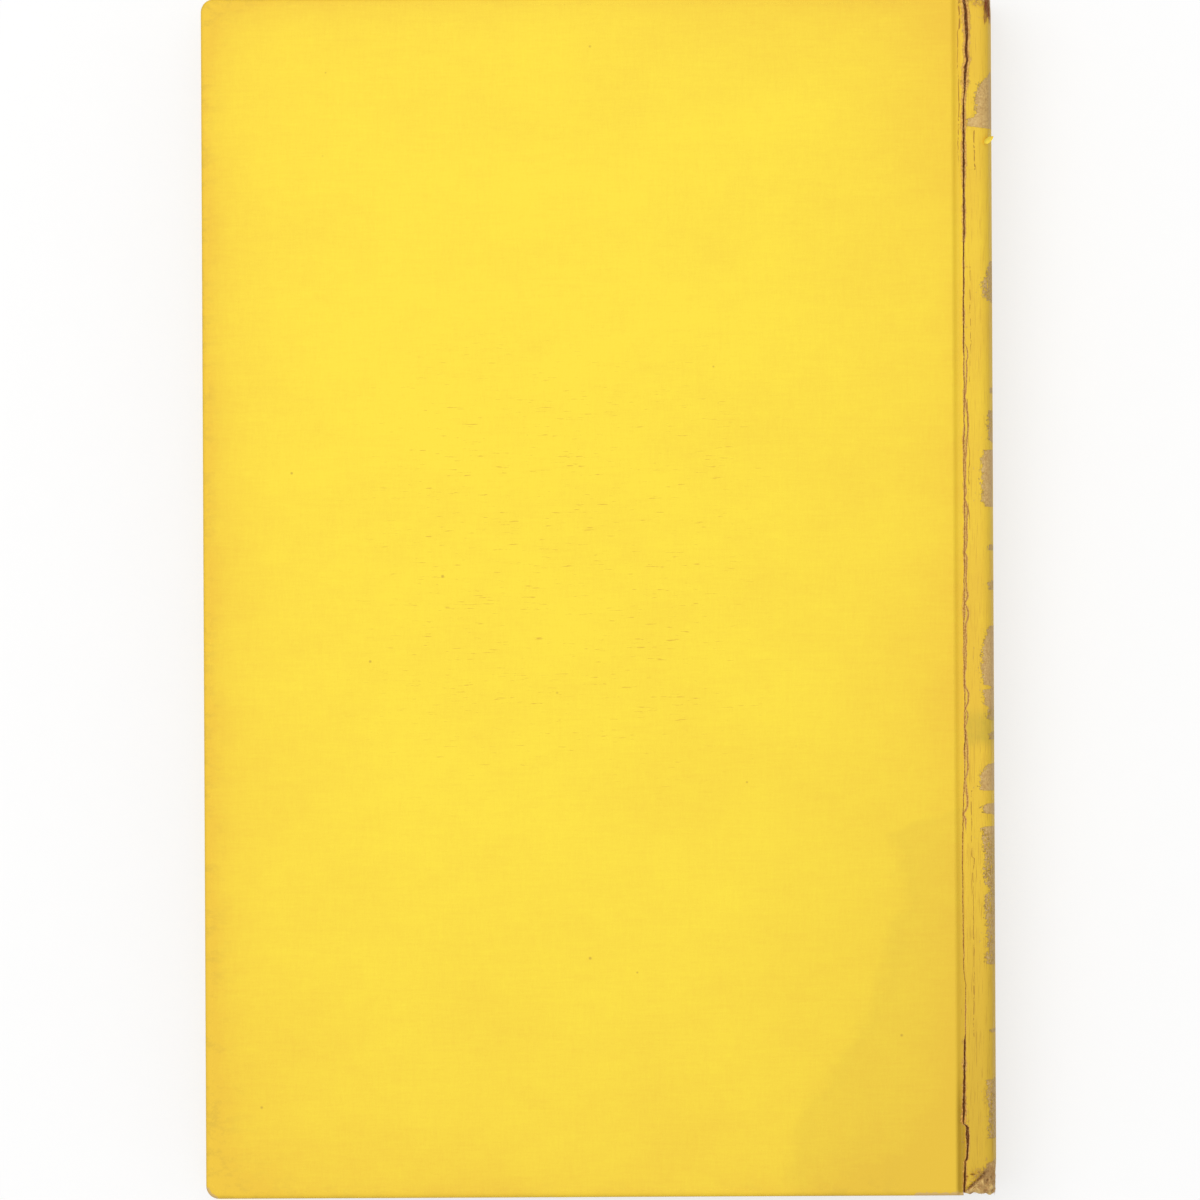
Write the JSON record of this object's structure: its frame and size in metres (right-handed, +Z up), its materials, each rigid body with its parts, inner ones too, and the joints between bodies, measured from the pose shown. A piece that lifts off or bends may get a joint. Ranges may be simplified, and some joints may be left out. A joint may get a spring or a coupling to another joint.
{
  "type": "hardback book",
  "caption": "Closed cloth-covered hardback book with stiff boards, a rounded spine and covers that open; worn yellow cloth, split along the back joint.",
  "frame": {"origin": "centre of the underside of the closed book, which lies on its front cover", "axes": "+X from the fore edge to the spine, +Y from the tail to the head, +Z up through the back cover"},
  "size_m": [0.1464, 0.222, 0.0232],
  "materials": {
    "pages": "matte",
    "endpaper": "matte",
    "mull": "matte",
    "lining_paper": "matte",
    "card": "matte",
    "book_cloth": "matte",
    "spine_book_cloth": "matte",
    "board": "matte",
    "band": "matte"
  },
  "bodies": {
    "book_block": {"text_block": "pages", "back_flyleaf": "endpaper", "front_flyleaf": "endpaper", "spine_mull": "mull", "spine_lining": "lining_paper", "spine_inlay": "card", "spine_cloth": "spine_book_cloth", "head_band": "band", "tail_band": "band"},
    "back_cover": {"back_board": "board", "back_cover_cloth": "book_cloth", "back_pastedown": "endpaper"},
    "front_cover": {"front_board": "board", "front_cover_cloth": "book_cloth", "front_pastedown": "endpaper"}
  },
  "joints": [
    {"name": "back_cover_joint", "type": "hinge", "parent": "book_block", "child": "back_cover", "pos_m": [0.06795, 0, 0.02325], "axis": [0, 1, 0], "range_deg": [0, 180]},
    {"name": "front_cover_joint", "type": "hinge", "parent": "book_block", "child": "front_cover", "pos_m": [0.06808, 0, -0.00005], "axis": [0, -1, 0], "range_deg": [0, 180]}
  ]
}
